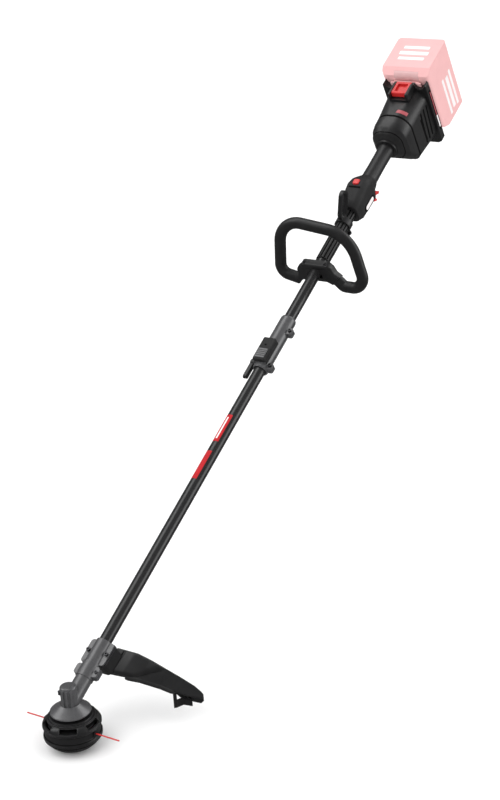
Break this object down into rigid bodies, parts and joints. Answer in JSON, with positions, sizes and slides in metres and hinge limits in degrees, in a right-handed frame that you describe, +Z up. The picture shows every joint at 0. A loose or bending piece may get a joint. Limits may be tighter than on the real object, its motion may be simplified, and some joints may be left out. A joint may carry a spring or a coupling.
{
  "type": "string trimmer",
  "caption": "Battery string trimmer: split straight boom with coupler, loop handle, trigger housing, motor housing with slide-in pack, bevel gear case, bump-feed line head and side guard.",
  "frame": {"origin": "on the cutting head spin axis, at the ground face of the bump knob", "axes": "+Z up along the spin axis, +X back to the operator under the boom, -Y to the operator left"},
  "size_m": [1.6931, 0.2905, 1.0763],
  "materials": {
    "tube_coat": "satin",
    "black_plastic": "matte",
    "dark_plastic": "matte",
    "grip_rubber": "soft",
    "cast_metal": "die cast",
    "steel": "satin",
    "dark_steel": "blackened",
    "bush_plastic": "matte",
    "red_plastic": "gloss",
    "line_nylon": "gloss",
    "pack_shell": "satin",
    "board_laminate": "gloss",
    "terminal_brass": "bright",
    "core_iron": "stacked"
  },
  "bodies": {
    "upper_frame": {"upper_tube": "tube_coat", "upper_drive_bushes": "bush_plastic", "coupler_body": "cast_metal", "release_housing": "black_plastic", "clamp_screws": "dark_steel", "pivot_pins": "dark_steel", "fluted_sleeve": "dark_plastic", "harness_eyelet": "black_plastic", "control_housing_left": "dark_plastic", "control_housing_right": "dark_plastic", "housing_screws": "dark_steel", "trigger_switch": "black_plastic", "control_board": "board_laminate", "rear_grip": "grip_rubber", "motor_front_cap": "dark_plastic", "motor_housing": "dark_plastic", "stator": "core_iron", "motor_bearings": "steel", "controller_board": "board_laminate", "battery_dock": "black_plastic", "battery_terminals": "terminal_brass", "latch_bracket": "black_plastic"},
    "lower_boom": {"lower_tube": "tube_coat", "lower_drive_bushes": "bush_plastic", "gear_case": "cast_metal", "grease_plug": "dark_steel", "case_clamp_screw": "dark_steel", "gear_skirt": "cast_metal", "spindle_bearings": "steel", "pinion_bearings": "steel", "guard_bracket": "cast_metal", "guard": "black_plastic", "line_cutter": "dark_steel", "cutter_screws": "dark_steel", "guard_screws": "dark_steel"},
    "lower_drive": {"lower_drive_shaft": "steel", "bevel_pinion": "steel"},
    "cutting_head": {"spindle": "steel", "driven_bevel_gear": "steel", "head_upper_cover": "black_plastic", "head_lower_housing": "black_plastic", "line_eyelets": "dark_steel", "cutting_line_ends": "line_nylon", "bump_spring": "steel"},
    "bump_spool": {"spool": "dark_plastic", "wound_line": "line_nylon", "bump_knob": "black_plastic"},
    "motor_rotor": {"rotor": "core_iron", "motor_shaft": "steel", "upper_drive_shaft": "steel"},
    "trigger_lever": {"trigger": "red_plastic"},
    "power_key": {"power_button": "red_plastic"},
    "latch": {"battery_latch": "red_plastic"},
    "pack": {"battery_pack": "pack_shell"},
    "lock_lever": {"release_lever": "cast_metal"},
    "knob": {"wing_knob": "black_plastic"},
    "loop_handle": {"handle_bridge": "black_plastic", "handle_loop": "grip_rubber", "handle_clamp_cap": "black_plastic", "handle_screws": "dark_steel"}
  },
  "joints": [
    {"name": "boom_slide", "type": "slide", "parent": "upper_frame", "child": "lower_boom", "axis": [-0.8704, 0, -0.4924], "range_m": [0, 0.08]},
    {"name": "lower_drive_spin", "type": "hinge", "parent": "lower_boom", "child": "lower_drive", "pos_m": [0.34814, 0, 0.28897], "axis": [0.8704, 0, 0.4924], "continuous": true},
    {"name": "head_spin", "type": "hinge", "parent": "lower_boom", "child": "cutting_head", "pos_m": [0, 0, 0.05], "axis": [0, 0, 1], "continuous": true},
    {"name": "bump_slide", "type": "slide", "parent": "cutting_head", "child": "bump_spool", "axis": [0, 0, 1], "range_m": [0, 0.005], "stiffness_N_per_m": 2000, "springref_m": -0.01, "deforming": ["bump_spring"]},
    {"name": "motor_spin", "type": "hinge", "parent": "upper_frame", "child": "motor_rotor", "pos_m": [1.42303, 0, 0.89711], "axis": [0.8704, 0, 0.4924], "continuous": true},
    {"name": "trigger_pull", "type": "hinge", "parent": "upper_frame", "child": "trigger_lever", "pos_m": [1.23368, 0, 0.76471], "axis": [0, -1, 0], "range_deg": [0, 12], "stiffness_Nm_per_rad": 0.6, "springref_deg": -11.46},
    {"name": "power_press", "type": "slide", "parent": "upper_frame", "child": "power_key", "axis": [0.4924, 0, -0.8704], "range_m": [0, 0.002], "stiffness_N_per_m": 1500, "springref_m": -0.002},
    {"name": "latch_pull", "type": "slide", "parent": "upper_frame", "child": "latch", "axis": [-0.8704, 0, -0.4924], "range_m": [0, 0.005], "stiffness_N_per_m": 1500, "springref_m": -0.003},
    {"name": "pack_slide", "type": "slide", "parent": "upper_frame", "child": "pack", "axis": [-0.4924, 0, 0.8704], "range_m": [0, 0.15]},
    {"name": "release_press", "type": "hinge", "parent": "upper_frame", "child": "lock_lever", "pos_m": [0.76315, 0, 0.5485], "axis": [0, -1, 0], "range_deg": [0, 6], "stiffness_Nm_per_rad": 1, "springref_deg": -8.59},
    {"name": "knob_turn", "type": "hinge", "parent": "upper_frame", "child": "knob", "pos_m": [0.75373, 0.0195, 0.51844], "axis": [0, 1, 0], "range_deg": [0, 180]},
    {"name": "handle_slide", "type": "slide", "parent": "upper_frame", "child": "loop_handle", "axis": [-0.8704, 0, -0.4924], "range_m": [0, 0.09]}
  ],
  "couplings": [
    {"joint": "lower_drive_spin", "follows": "head_spin", "ratio": -1.3571},
    {"joint": "motor_spin", "follows": "head_spin", "ratio": -1.3571}
  ]
}
